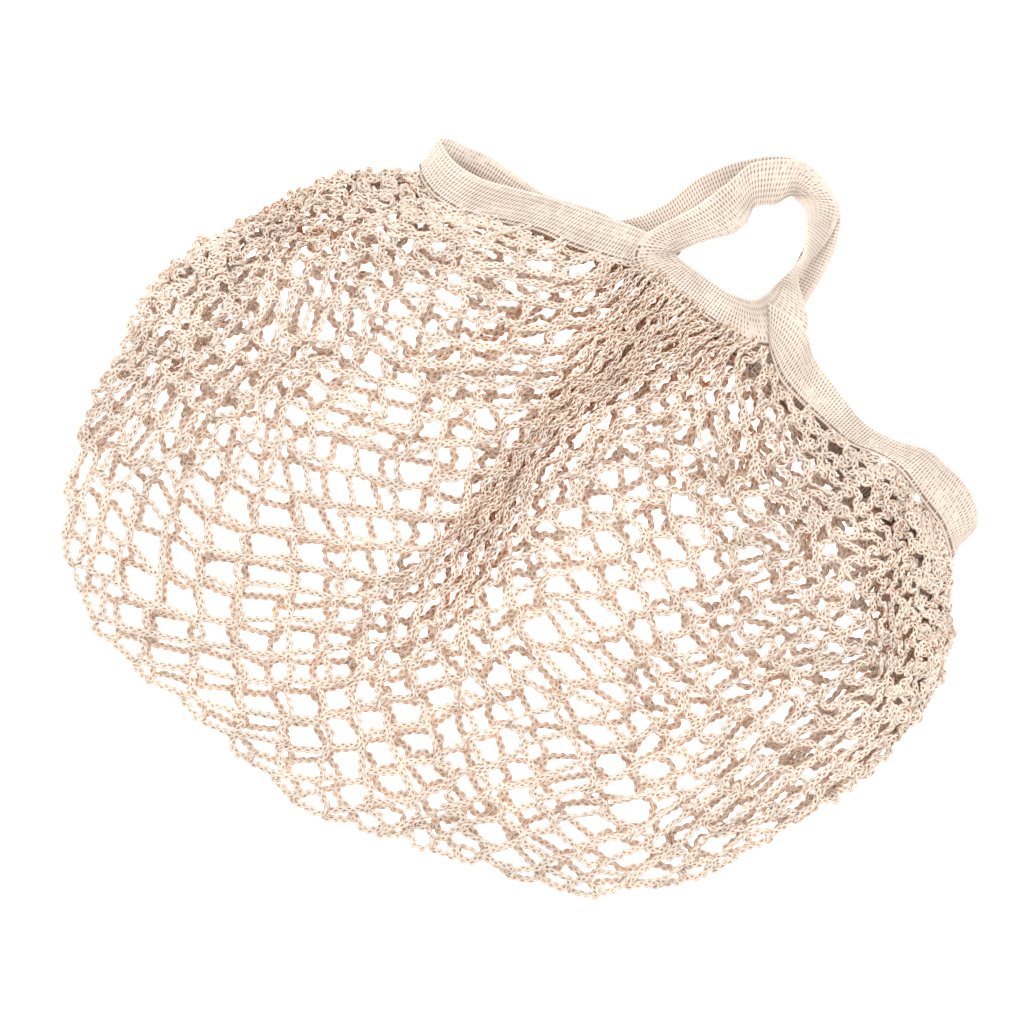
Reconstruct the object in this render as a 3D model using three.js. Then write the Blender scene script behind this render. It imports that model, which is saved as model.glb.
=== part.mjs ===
// String shopping bag lying on its side. A knotless cotton net hangs from a mouth bound in woven
// tape, and two carrying loops of the same tape are gathered onto the middle of the mouth.
// Millimetres, +Z up, X along the mouth, Y from the foot of the net towards the carrying loops.
import * as THREE from 'three';

// Driving sizes
const mouthHalf = 188; // half the width of the mouth, laid flat
const netDepth = 353; // from the mouth to the foot of the net
const netWall = 3; // thickness of the knitted strands
const hollow = 9; // clear height between the two layers of net
const tapeWidth = 21;
const tapeThick = 3;
const loopHalf = 57; // half the width of a carrying loop over its tape
const loopRise = 116; // from the mouth's line to the top of the loops
const seam = 0.7; // space between the net's border and the tape that binds it
const turnRoom = 1.6; // extra space there where the tape turns over, in thicknesses of tape
const clearance = 0.3; // space between tapes that lie on one another
const borderDepth = 7; // closed border of the net below the tape
const foldRise = 5; // height of the main ridge of gathered net
const pleatRise = 1.4; // height of the small pleats under the front loop

// Counts and shares of the net
const columns = 9; // cells across one layer
const rows = 6; // rows of cells from the mouth to the foot
const gapShare = 0.64; // width of a gap as a share of its cell
const gapRound = 1.22; // how far the sides of a gap bulge out
const pinch = 0.4; // how much the middle cells stay bunched on their way down
const edgeShare = 0.1; // share of the width over which the layers close up at the sides
const footShare = 0.14; // the same at the foot
const insetFactor = 1.3; // how far the inner face stays back from the folded edges

// Sizes worked out from the ones above
const loft = hollow + 2 * netWall;
const step = 1 / (4 * columns);
const stack = tapeThick + clearance;

// The mouth, seen from above, once round: front from left to right, then back from right to left.
// share counts the strands passed so far, 1 for each layer. x and y are shares of mouthHalf.
// level is 0 on the back layer and 1 on the front layer.
const mouth = [
  { share: 0.0, x: -0.985, y: -0.08, level: 0.5 },
  { share: 0.028, x: -0.94, y: -0.104, level: 0.94 },
  { share: 0.08, x: -0.8, y: -0.098, level: 1 },
  { share: 0.14, x: -0.68, y: -0.052, level: 1 },
  { share: 0.22, x: -0.5, y: -0.004, level: 1 },
  { share: 0.3, x: -0.31, y: 0.07, level: 1 },
  { share: 0.44, x: -0.13, y: 0.062, level: 1 },
  { share: 0.58, x: 0.06, y: 0.056, level: 1 },
  { share: 0.667, x: 0.18, y: 0.068, level: 1 },
  { share: 0.72, x: 0.29, y: 0.022, level: 1 },
  { share: 0.79, x: 0.45, y: -0.008, level: 1 },
  { share: 0.87, x: 0.65, y: -0.005, level: 1 },
  { share: 0.93, x: 0.8, y: -0.02, level: 1 },
  { share: 0.972, x: 0.955, y: -0.106, level: 0.92 },
  { share: 1.0, x: 1.01, y: -0.13, level: 0.5 },
  { share: 1.028, x: 0.955, y: -0.152, level: 0.12 },
  { share: 1.08, x: 0.82, y: -0.158, level: 0 },
  { share: 1.16, x: 0.59, y: -0.11, level: 0 },
  { share: 1.24, x: 0.37, y: -0.045, level: 0 },
  { share: 1.333, x: 0.18, y: 0.0, level: 0 },
  { share: 1.5, x: -0.05, y: 0.028, level: 0 },
  { share: 1.694, x: -0.31, y: 0.042, level: 0 },
  { share: 1.78, x: -0.49, y: 0.02, level: 0 },
  { share: 1.86, x: -0.68, y: -0.02, level: 0 },
  { share: 1.94, x: -0.86, y: -0.032, level: 0 },
  { share: 1.972, x: -0.94, y: -0.052, level: 0.1 },
];

// Folded sides of the net from the mouth down. x is a share of mouthHalf, y of netDepth.
const leftSide = [
  { x: -0.985, y: -0.043 },
  { x: -1.29, y: -0.2 },
  { x: -1.455, y: -0.41 },
  { x: -1.43, y: -0.58 },
  { x: -1.37, y: -0.742 },
];
const rightSide = [
  { x: 1.01, y: -0.071 },
  { x: 1.11, y: -0.17 },
  { x: 1.182, y: -0.306 },
  { x: 1.18, y: -0.44 },
  { x: 1.106, y: -0.575 },
];

// Foot of the net from left to right, in the same shares.
const foot = [
  { x: -1.37, y: -0.742 },
  { x: -1.266, y: -0.844 },
  { x: -1.096, y: -0.92 },
  { x: -0.883, y: -0.96 },
  { x: -0.644, y: -0.975 },
  { x: -0.41, y: -0.986 },
  { x: -0.2, y: -0.997 },
  { x: 0.01, y: -0.966 },
  { x: 0.255, y: -0.926 },
  { x: 0.505, y: -0.89 },
  { x: 0.782, y: -0.816 },
  { x: 0.968, y: -0.703 },
  { x: 1.106, y: -0.575 },
];

// Folds and dents of the front layer. share and depth place the middle, wide and long are its
// reach across and down, and rise is a share of foldRise.
const folds = [
  { share: 0.5, depth: 0.1, wide: 0.1, long: 0.16, rise: 0.7 },
  { share: 0.5, depth: 0.38, wide: 0.06, long: 0.2, rise: 1 },
  { share: 0.46, depth: 0.64, wide: 0.06, long: 0.14, rise: 0.7 },
  { share: 0.12, depth: 0.3, wide: 0.07, long: 0.2, rise: 0.6 },
  { share: 0.88, depth: 0.45, wide: 0.07, long: 0.25, rise: 0.8 },
  { share: 0.3, depth: 0.5, wide: 0.09, long: 0.2, rise: -0.35 },
  { share: 0.7, depth: 0.6, wide: 0.09, long: 0.2, rise: -0.35 },
];

// Tape of a carrying loop, once round from the right end of its base. x is a share of loopHalf and
// y of loopRise, along the outer edge. height is a share of loft. face is the way to the inner
// edge in degrees, lean lifts that edge, and width is a share of tapeWidth.
const frontLoop = [
  { x: 0.72, y: 0.15, height: 0.9, face: 150, lean: 0, width: 1.35 },
  { x: 0.67, y: 0.36, height: 0.8, face: 188, lean: 8, width: 0.95 },
  { x: 0.5, y: 0.54, height: 0.5, face: 190, lean: 58, width: 0.92 },
  { x: 0.51, y: 0.75, height: 0.42, face: 203, lean: 40, width: 0.96 },
  { x: 0.47, y: 0.87, height: 0.42, face: 214, lean: 18, width: 0.96 },
  { x: 0.3, y: 0.955, height: 0.46, face: 234, lean: 4, width: 0.96 },
  { x: -0.1, y: 1, height: 0.55, face: 283, lean: 0, width: 0.95 },
  { x: -0.38, y: 0.92, height: 0.6, face: 307, lean: 0, width: 1.14 },
  { x: -0.58, y: 0.8, height: 0.6, face: 320, lean: 0, width: 1.04 },
  { x: -0.77, y: 0.52, height: 0.75, face: 335, lean: 0, width: 0.96 },
  { x: -0.98, y: 0.32, height: 0.9, face: 341, lean: 0, width: 0.88 },
];
const backLoop = [
  { x: 0.86, y: 0.07, height: 0.1, face: 150, lean: 0, width: 1.35 },
  { x: 0.72, y: 0.4, height: 0.1, face: 183, lean: 0, width: 0.9 },
  { x: 0.67, y: 0.64, height: 0.1, face: 190, lean: 0, width: 0.78 },
  { x: 0.6, y: 0.785, height: 0.1, face: 200, lean: 0, width: 0.78 },
  { x: 0.46, y: 0.905, height: 0.1, face: 220, lean: 0, width: 0.86 },
  { x: 0.17, y: 0.985, height: 0.1, face: 250, lean: 0, width: 0.9 },
  { x: -0.22, y: 0.992, height: 0.1, face: 290, lean: 0, width: 0.95 },
  { x: -0.61, y: 0.857, height: 0.1, face: 315, lean: 0, width: 1 },
  { x: -0.91, y: 0.646, height: 0.1, face: 328, lean: 0, width: 1 },
  { x: -1.06, y: 0.43, height: 0.1, face: 332, lean: 0, width: 0.95 },
  { x: -1.33, y: 0.25, height: 0.1, face: 325, lean: 0, width: 0.75 },
  { x: -1.6, y: 0.2, height: 0.1, face: 356, lean: 0, width: 0.95 },
];

// Base of a loop along the mouth, from left to right: how its tape turns in at both corners.
// at runs from 0 to 1 along the base, the other columns are as above.
const baseTape = [
  { at: 0, face: 38, width: 1.2 },
  { at: 0.22, face: 90, width: 0.86 },
  { at: 0.78, face: 90, width: 0.86 },
  { at: 1, face: 130, width: 1.2 },
];

// Where each base starts and ends, as shares along the mouth
const frontBase = { left: 0.306, right: 0.667 };
const backBase = { left: 1.778, right: 1.306 };

// Side bands: from their first share of the mouth to their last, and where they lie on or under
// the loops. lift is a share of stack, and each band rises or dips to it over rampStations.
const sideBands = {
  band_left: {
    from: 0.361,
    to: -0.278,
    ends: [{ past: 0.278, lift: -1 }, { past: -0.194, lift: 1 }],
  },
  band_right: {
    from: 0.667,
    to: 1.361,
    ends: [{ past: 0.75, lift: 1 }, { past: 1.278, lift: 1 }],
  },
};
const rampStations = 2;

const netCotton = new THREE.MeshStandardMaterial({ color: 0xe2cfbe, roughness: 0.95 });
const tapeCotton = new THREE.MeshStandardMaterial({ color: 0xf6e9da, roughness: 0.9 });

const radians = THREE.MathUtils.degToRad;
const lerp = THREE.MathUtils.lerp;
const clamp = THREE.MathUtils.clamp;

// Height of the middle of the tape at a level between the back layer, 0, and the front layer, 1
function tapeHeight(level) {
  return tapeThick / 2 + level * (loft - tapeThick);
}

const mouthCurve = new THREE.CatmullRomCurve3(
  mouth.map((row) => new THREE.Vector3(row.x * mouthHalf, row.y * mouthHalf, tapeHeight(row.level))),
  true,
  'centripetal',
);

// Point of the mouth after a share of the strands, 0 to 1 in front and 1 to 2 behind
function mouthAt(share) {
  const wrapped = ((share % 2) + 2) % 2;
  const last = mouth.findLastIndex((row) => row.share <= wrapped + 1e-9);
  const start = mouth[last].share;
  const end = last + 1 < mouth.length ? mouth[last + 1].share : 2;
  const point = mouthCurve.getPoint((last + (wrapped - start) / (end - start)) / mouth.length);
  point.z = clamp(point.z, tapeHeight(0), tapeHeight(1));
  return point;
}

// Nearest station of the net's rim to a share of the mouth
function stationAt(share) {
  return Math.round(share / step);
}

// Way along the mouth at a place on it
function mouthWay(share) {
  return mouthAt(share + step / 2).sub(mouthAt(share - step / 2)).normalize();
}

// Rim of the net: it hangs below the tape, with more room where the tape turns over at the ends
function rimAt(share) {
  const way = mouthWay(share);
  const rim = mouthAt(share);
  rim.y -= seam + turnRoom * tapeThick * Math.abs(way.y * way.z);
  return rim;
}

function netCurve(table) {
  const points = table.map((row) => new THREE.Vector3(row.x * mouthHalf, row.y * netDepth, 0));
  return new THREE.CatmullRomCurve3(points, false, 'centripetal');
}

const leftCurve = netCurve(leftSide);
const rightCurve = netCurve(rightSide);
const footCurve = netCurve(foot);

// Plan of the net: the mouth, both sides and the foot are filled in by blending opposite edges.
// turn runs once round the bag, 0 to 1 in front and 1 to 2 behind, depth from mouth to foot.
function netPlan(turn, depth) {
  const share = turn > 1 ? 2 - turn : turn;
  const pull = (pinch * 4 * depth * (1 - depth)) / (2 * Math.PI);
  const bunched = share - pull * Math.sin(2 * Math.PI * (share - 0.5));
  const rim = rimAt(turn);
  const low = footCurve.getPointAt(clamp(bunched, 0, 1));
  const left = leftCurve.getPoint(depth);
  const right = rightCurve.getPoint(depth);
  const corners = [rimAt(0), rimAt(1), leftCurve.getPoint(1), rightCurve.getPoint(1)];
  const blend = (axis) =>
    lerp(rim[axis], low[axis], depth) +
    lerp(left[axis], right[axis], bunched) -
    lerp(
      lerp(corners[0][axis], corners[2][axis], depth),
      lerp(corners[1][axis], corners[3][axis], depth),
      bunched,
    );
  return depth === 0 ? [rim.x, rim.y] : [blend('x'), blend('y')];
}

// How far the layers have opened at a distance from a folded edge, from 0 to 1
function opened(distance) {
  return 1 - (1 - clamp(distance, 0, 1)) ** 2;
}

// Rise of the front layer: broad folds and dents, and small pleats under the front loop
function relief(share, depth) {
  let rise = 0;
  for (const fold of folds) {
    const across = (share - fold.share) / fold.wide;
    const down = (depth - fold.depth) / fold.long;
    rise += foldRise * fold.rise * Math.exp(-across * across - down * down);
  }
  const gathered = Math.exp(-(((share - 0.5) / 0.17) ** 4)) * Math.exp(-((depth / 0.3) ** 2));
  return rise + pleatRise * gathered * Math.cos((Math.PI * share) / step);
}

// Point of the net's outer or inner face
function netPoint(turn, depth, inner) {
  const share = turn > 1 ? 2 - turn : turn;
  const front = turn <= 1;
  const edge = Math.min(share, 1 - share);
  const folded = edge < 1e-6 || depth > 1 - 1e-6;
  const open = opened(edge / edgeShare) * opened((1 - depth) / footShare);
  const inset = (insetFactor * netWall) / (2 * mouthHalf);
  const held = inner ? clamp(share, inset, 1 - inset) : share;
  const heldDepth = inner ? Math.min(depth, 1 - (insetFactor * netWall) / netDepth) : depth;
  const [x, y] = netPlan(front ? held : 2 - held, heldDepth);
  const half = (hollow / 2) * open + (inner || folded ? 0 : netWall);
  const up = front ? half + open * relief(share, depth) : -half;
  return [x, y, loft / 2 + up];
}

// Net bag as one closed body: outer faces, inner faces, the walls of its gaps and its rim
function netBody() {
  const points = [];
  const faces = [];
  const known = new Map();

  function vertex([turn, depth], inner) {
    const wrapped = ((turn % 2) + 2) % 2;
    const atFoot = depth > 1 - 1e-6;
    const column = atFoot && wrapped > 1 ? 2 - wrapped : wrapped;
    const key = `${inner} ${(column % 2).toFixed(5)} ${depth.toFixed(5)}`;
    if (!known.has(key)) {
      known.set(key, points.length);
      points.push(netPoint(column, depth, inner));
    }
    return known.get(key);
  }

  function skin(a, b, c) {
    faces.push([vertex(a, false), vertex(b, false), vertex(c, false)]);
    faces.push([vertex(a, true), vertex(c, true), vertex(b, true)]);
  }

  function wall(a, b) {
    faces.push([vertex(a, false), vertex(b, false), vertex(b, true)]);
    faces.push([vertex(a, false), vertex(b, true), vertex(a, true)]);
  }

  const border = borderDepth / netDepth;
  const high = (1 - border) / (rows + 1);
  const wide = 2 * step;
  const around = 8 * columns;
  for (let k = 0; k < around; k += 1) {
    const [turn, next] = [k * step, (k + 1) * step];
    skin([turn, 0], [turn, border], [next, border]);
    skin([turn, 0], [next, border], [next, 0]);
    wall([turn, 0], [next, 0]);
  }

  // Eight places round a cell, from its left corner and turning by way of its foot
  const spots = [[-1, 0], [-0.5, 0.5], [0, 1], [0.5, 0.5], [1, 0], [0.5, -0.5], [0, -1], [-0.5, -0.5]];
  for (let row = 0; row <= rows + 1; row += 1) {
    for (let column = 0; column < 2 * columns; column += 1) {
      const middle = (2 * column + (row % 2 ? 0 : 1)) * wide;
      const depth = border + row * high;
      const place = ([across, down]) => [middle + across * wide, depth + down * high];
      const ring = spots.map(place);
      const centre = [middle, depth];
      if (row === 0) {
        const [left, right] = [place([-0.5, 0]), place([0.5, 0])];
        skin(left, ring[0], ring[1]);
        skin(centre, left, ring[1]);
        skin(centre, ring[1], ring[2]);
        skin(centre, ring[2], ring[3]);
        skin(centre, ring[3], right);
        skin(right, ring[3], ring[4]);
      } else if (row === rows + 1) {
        for (let k = 4; k < 8; k += 1) {
          skin(centre, ring[k], ring[(k + 1) % 8]);
        }
      } else {
        const gap = spots.map(([across, down], k) => {
          const share = gapShare * (k % 2 ? gapRound : 1);
          return place([across * share, down * share]);
        });
        for (let k = 0; k < 8; k += 1) {
          const next = (k + 1) % 8;
          skin(ring[k], ring[next], gap[next]);
          skin(ring[k], gap[next], gap[k]);
          wall(gap[k], gap[next]);
        }
      }
    }
  }
  return { points, faces };
}

// Tape as a flat bar through stations. Each station has the tape's lower or outer edge and the
// way across to its other edge. A closed tape runs on from its last station to its first.
function tapeBody(stations, closed) {
  const points = [];
  const faces = [];
  const count = stations.length;
  const middle = (k) => {
    const station = stations[closed ? (k + count) % count : clamp(k, 0, count - 1)];
    return station.edge.clone().addScaledVector(station.across, 0.5);
  };
  stations.forEach((station, k) => {
    const along = middle(k + 1).sub(middle(k - 1));
    const lift = along.cross(station.across).setLength(tapeThick / 2);
    const far = station.edge.clone().add(station.across);
    const corners = [
      station.edge.clone().sub(lift),
      far.clone().sub(lift),
      far.clone().add(lift),
      station.edge.clone().add(lift),
    ];
    corners.forEach((corner) => points.push(corner.toArray()));
  });
  const spans = closed ? count : count - 1;
  for (let k = 0; k < spans; k += 1) {
    const [here, next] = [4 * k, 4 * ((k + 1) % count)];
    for (let side = 0; side < 4; side += 1) {
      const other = (side + 1) % 4;
      faces.push([here + side, here + other, next + other]);
      faces.push([here + side, next + other, next + side]);
    }
  }
  if (!closed) {
    const end = 4 * (count - 1);
    faces.push([0, 3, 2], [0, 2, 1]);
    faces.push([end, end + 1, end + 2], [end, end + 2, end + 3]);
  }
  return { points, faces };
}

// Side band: it follows the mouth from one loop round the folded end to the other loop
function sideBand({ from, to, ends }) {
  const way = Math.sign(to - from);
  const [first, last] = [stationAt(from), stationAt(to)];
  const places = Array.from({ length: Math.abs(last - first) + 1 }, (_, k) => first + way * k);
  const stations = places.map((place) => {
    const edge = mouthAt(place * step);
    const along = mouthWay(place * step);
    const across = new THREE.Vector3(-along.x * along.y, along.x ** 2 + along.z ** 2, 0);
    across.setLength(tapeWidth);
    const [start, finish] = ends;
    const intoStart = clamp(1 - (way * (place - stationAt(start.past))) / rampStations, 0, 1);
    const intoFinish = clamp(1 + (way * (place - stationAt(finish.past))) / rampStations, 0, 1);
    edge.z += stack * (start.lift * intoStart + finish.lift * intoFinish);
    return { edge, across };
  });
  return tapeBody(stations, false);
}

function tableRow(table, column, at) {
  const last = Math.max(1, table.findIndex((row) => row[column] >= at - 1e-9));
  const [low, high] = [table[last - 1], table[last]];
  const share = (at - low[column]) / (high[column] - low[column]);
  return { face: lerp(low.face, high.face, share), width: lerp(low.width, high.width, share) };
}

function acrossTape(face, lean, width) {
  const [turn, tilt] = [radians(face), radians(lean)];
  const flat = Math.cos(tilt);
  const way = new THREE.Vector3(Math.cos(turn) * flat, Math.sin(turn) * flat, Math.sin(tilt));
  return way.setLength(width * tapeWidth);
}

// Carrying loop: a ring of tape whose base is sewn along the mouth and whose rest stands above it
function carryingLoop(base, table) {
  const way = Math.sign(base.right - base.left);
  const [first, last] = [stationAt(base.left), stationAt(base.right)];
  const count = Math.abs(last - first);
  const stations = [];
  for (let k = 0; k <= count; k += 1) {
    const { face, width } = tableRow(baseTape, 'at', k / count);
    stations.push({ edge: mouthAt((first + way * k) * step), across: acrossTape(face, 0, width) });
  }
  const free = table.map((row) => ({
    edge: new THREE.Vector3(row.x * loopHalf, row.y * loopRise, row.height * loft),
    across: acrossTape(row.face, row.lean, row.width),
  }));
  const round = [stations[count], ...free, stations[0]];
  const outer = new THREE.CatmullRomCurve3(round.map((station) => station.edge), false, 'centripetal');
  const inner = new THREE.CatmullRomCurve3(
    round.map((station) => station.edge.clone().add(station.across)),
    false,
    'centripetal',
  );
  const spans = 3 * (round.length - 1);
  for (let k = 1; k < spans; k += 1) {
    const edge = outer.getPoint(k / spans);
    stations.push({ edge, across: inner.getPoint(k / spans).sub(edge) });
  }
  return tapeBody(stations, true);
}

function namedMesh(name, body, material) {
  const geometry = new THREE.BufferGeometry();
  geometry.setAttribute('position', new THREE.Float32BufferAttribute(body.points.flat(), 3));
  geometry.setIndex(body.faces.flat());
  geometry.computeVertexNormals();
  const mesh = new THREE.Mesh(geometry, material);
  mesh.name = name;
  return mesh;
}

const bag = new THREE.Group();
bag.add(namedMesh('net_body', netBody(), netCotton));
for (const [name, band] of Object.entries(sideBands)) {
  bag.add(namedMesh(name, sideBand(band), tapeCotton));
}
bag.add(namedMesh('handle_front', carryingLoop(frontBase, frontLoop), tapeCotton));
bag.add(namedMesh('handle_back', carryingLoop(backBase, backLoop), tapeCotton));

// The origin is on the ground under the middle of the whole bag
const bounds = new THREE.Box3().setFromObject(bag);
const centre = bounds.getCenter(new THREE.Vector3());
bag.position.set(-centre.x, -centre.y, -bounds.min.z);
bag.updateMatrixWorld(true);

export default bag;
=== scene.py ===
"""String shopping bag lying on its side, seen from straight above.

A knotless cotton net hangs from a mouth bound in woven tape, and two carrying loops of the same
tape stand above it. Tables are in millimetres in the bag's own frame, with X along the mouth and
Y from the foot of the net towards the loops, as in the CAD source. Meshes are in metres.
"""

import math
from types import SimpleNamespace

import bpy
import numpy as np
from bpy.props import FloatProperty, FloatVectorProperty, IntProperty, PointerProperty
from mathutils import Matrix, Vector


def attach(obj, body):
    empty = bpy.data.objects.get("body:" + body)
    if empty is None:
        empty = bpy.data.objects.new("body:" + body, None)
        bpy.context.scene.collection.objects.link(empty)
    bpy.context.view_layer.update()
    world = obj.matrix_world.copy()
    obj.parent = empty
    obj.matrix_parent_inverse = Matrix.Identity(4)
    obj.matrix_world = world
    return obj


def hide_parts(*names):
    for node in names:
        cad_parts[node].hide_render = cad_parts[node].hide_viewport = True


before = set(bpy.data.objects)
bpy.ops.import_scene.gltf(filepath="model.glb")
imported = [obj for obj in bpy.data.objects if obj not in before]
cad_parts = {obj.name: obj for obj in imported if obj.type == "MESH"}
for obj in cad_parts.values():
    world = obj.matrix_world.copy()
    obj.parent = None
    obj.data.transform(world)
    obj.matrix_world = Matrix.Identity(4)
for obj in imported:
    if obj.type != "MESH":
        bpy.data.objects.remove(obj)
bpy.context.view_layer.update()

bl_info = {
    "name": "String shopping bag",
    "version": (1, 0, 0),
    "blender": (4, 5, 0),
    "location": "3D View > Sidebar > Bag",
    "description": "Makes the net, the tapes and the stage of a cotton string bag on its CAD frame",
    "category": "Object",
}

MM = 0.001
TAU = 2 * math.pi
# From the bag's own frame to the CAD model's, whose origin is under the middle of the bag
SHIFT = np.array([25.386, 117.948, 0.0])
# Half the width of the mouth
MOUTH_HALF = 188.0
# The net is sewn on this far below the middle of the tape's lower edge
RIM_DROP = 2.5
# Height of the front tape's face above the floor
LOFT = 15.0
# Points on a curve that is read off by its length
CURVE_STEPS = 400

# The mouth, once round: share of the strands passed (0 to 1 in front, 1 to 2 behind), x and y as
# shares of MOUTH_HALF, and the level between the back layer, 0, and the front layer, 1.
MOUTH = np.array([
    (0.0, -0.985, -0.08, 0.5), (0.028, -0.94, -0.104, 0.94), (0.08, -0.8, -0.098, 1),
    (0.14, -0.68, -0.052, 1), (0.22, -0.5, -0.004, 1), (0.3, -0.31, 0.07, 1),
    (0.44, -0.13, 0.062, 1), (0.58, 0.06, 0.056, 1), (0.667, 0.18, 0.068, 1),
    (0.72, 0.29, 0.022, 1), (0.79, 0.45, -0.008, 1), (0.87, 0.65, -0.005, 1),
    (0.93, 0.817, -0.004, 1), (0.972, 0.976, -0.09, 0.92), (1.0, 1.01, -0.13, 0.5),
    (1.028, 0.955, -0.152, 0.12), (1.08, 0.82, -0.158, 0), (1.16, 0.59, -0.11, 0),
    (1.24, 0.37, -0.045, 0), (1.333, 0.18, 0.0, 0), (1.5, -0.05, 0.028, 0),
    (1.694, -0.31, 0.042, 0), (1.78, -0.49, 0.02, 0), (1.86, -0.68, -0.02, 0),
    (1.94, -0.86, -0.032, 0), (1.972, -0.94, -0.052, 0.1),
])

# Folded sides and foot of the net, in millimetres
LEFT_SIDE = np.array([
    (-185, -15), (-208, -28), (-228, -44), (-247, -78), (-258, -100), (-267, -120),
])
RIGHT_SIDE = np.array([
    (190, -26), (199, -36), (207, -47), (217, -62), (224, -78),
])
FOOT = np.array([
    (-267, -120), (-276, -157), (-270, -192), (-267, -227), (-260, -258),
    (-238, -298), (-206, -325), (-166, -339), (-121, -344), (-77, -348),
    (-38, -352), (2, -341), (48, -327), (95, -314), (147, -288), (180, -247), (204, -200),
    (222, -152), (227, -113), (224, -78),
])

# Folds and dents of the front layer: share across, depth, reach across, reach down, rise in mm
FOLDS = np.array([
    (0.5, 0.1, 0.1, 0.16, 3.5), (0.5, 0.38, 0.06, 0.2, 5.0), (0.46, 0.64, 0.06, 0.14, 3.5),
    (0.12, 0.3, 0.07, 0.2, 3.0), (0.88, 0.45, 0.07, 0.25, 4.0), (0.3, 0.5, 0.09, 0.2, -1.8),
    (0.7, 0.6, 0.09, 0.2, -1.8),
])

# Where the strands bunch in each layer. depth, then for the ridge down the middle its place
# across, reach and weight, and then reach and weight at the left and at the right edge.
BUNCH = np.array([
    (0.0, 0.42, 0.12, 0.8, 0.07, 1.7, 0.08, 1.7),
    (0.12, 0.435, 0.12, 1.0, 0.06, 2.6, 0.08, 2.2),
    (0.3, 0.45, 0.09, 1.2, 0.06, 2.4, 0.08, 2.0),
    (0.5, 0.46, 0.07, 1.2, 0.08, 1.6, 0.10, 1.2),
    (0.7, 0.467, 0.06, 0.6, 0.13, 0.9, 0.12, 0.8),
    (0.88, 0.476, 0.07, 0.2, 0.13, 0.8, 0.12, 0.4),
    (1.0, 0.476, 0.07, 0.0, 0.13, 0.7, 0.12, 0.3),
])
# Where the strands are sewn on: their share across, and the share of MOUTH that they come to.
# About half of them are gathered into the base of the loop in each layer.
SEWN = np.array([(0.0, 0.0), (0.22, 0.28), (0.26, 0.30), (0.71, 0.69), (0.75, 0.715), (1.0, 1.0)])

# Pleats that draw the net together in plan: x and y of the middle, the way they run in degrees,
# half their length, how far to each side they draw from, and how much they close the gaps.
PLEATS = np.array([
    (-36, -110, 268, 120, 52, 0.6), (-46, -120, 262, 70, 20, 0.35), (-120, -110, 214, 110, 40, 0.45),
    (-150, -62, 205, 80, 26, 0.4), (36, -84, 292, 90, 26, 0.35), (176, -66, 300, 60, 30, 0.5),
])
# Middle of the net, and how far its fold lines stay inside the outline for the cords' own width
HEART = np.array([-25.0, -170.0])
FOLD_INSET = 1.0

# Tapes: x, y, z of the lower or outer edge, and x, y, z of the upper or inner edge
BAND_LEFT = np.array([
    (-40, 14, 10.2, -36, 33, 10.2), (-49, 14, 11.4, -48, 32, 11.4), (-67, 7, 13.5, -66, 29, 13.5),
    (-92, 0, 13.5, -86, 23.5, 13.5), (-110, -3, 13.5, -104, 18.5, 13.5),
    (-129, -10, 13.5, -120, 14, 13.5), (-147, -18, 13.4, -138, 7.7, 13.6),
    (-164, -20.5, 13, -158, 1.8, 13.5), (-175, -19.5, 11.8, -173, 1.5, 13),
    (-184, -15, 9.4, -183, 5, 10.5), (-187, -10, 6.6, -188, 9, 7), (-183, -8, 3.5, -184, 12, 3.8),
    (-171, -7, 1.6, -172, 14.5, 1.8), (-157, -6, 1.5, -158, 17, 1.5), (-137, -5, 1.5, -137, 17, 1.5),
    (-118, -3, 1.5, -121, 17, 1.5), (-101, 1, 1.5, -105, 21.5, 1.5), (-85, 5, 2.8, -90, 26, 2.8),
    (-71, 7, 4.8, -74, 28, 4.8),
])
BAND_RIGHT = np.array([
    (34, 18, 16.8, 21, 36, 16.8), (42, 11, 16.6, 36, 36.5, 16.6), (53, 4, 15.6, 51, 33.5, 15.6),
    (66, 1, 13.8, 61, 25.5, 13.8), (80, -1, 13.5, 81, 18, 13), (107, -3, 14.6, 111, 10.5, 8.5),
    (120, -0.6, 14.4, 127, 13, 9.5), (138, 0, 13.8, 144, 18.5, 12.8), (158, -7, 13.5, 159, 17, 13.5),
    (175, -13, 13.3, 174, 14, 13.5), (185, -20, 12.2, 187, 6.5, 12.8), (190, -25, 9, 193.5, -2, 9.2),
    (188, -29, 4.6, 191, -9, 5), (178, -30.5, 2, 178, -10, 2.2), (157, -30, 1.5, 157, -9.5, 1.5),
    (133, -25, 1.5, 137, -4.5, 1.5), (110, -20, 1.5, 115, 0.5, 1.5), (88, -13, 1.5, 94, 7, 1.5),
    (69, -8.5, 1.5, 75, 12, 1.5), (50, -3.4, 3, 56, 17, 3), (35, 0, 4.8, 39, 20, 4.8),
])
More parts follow.
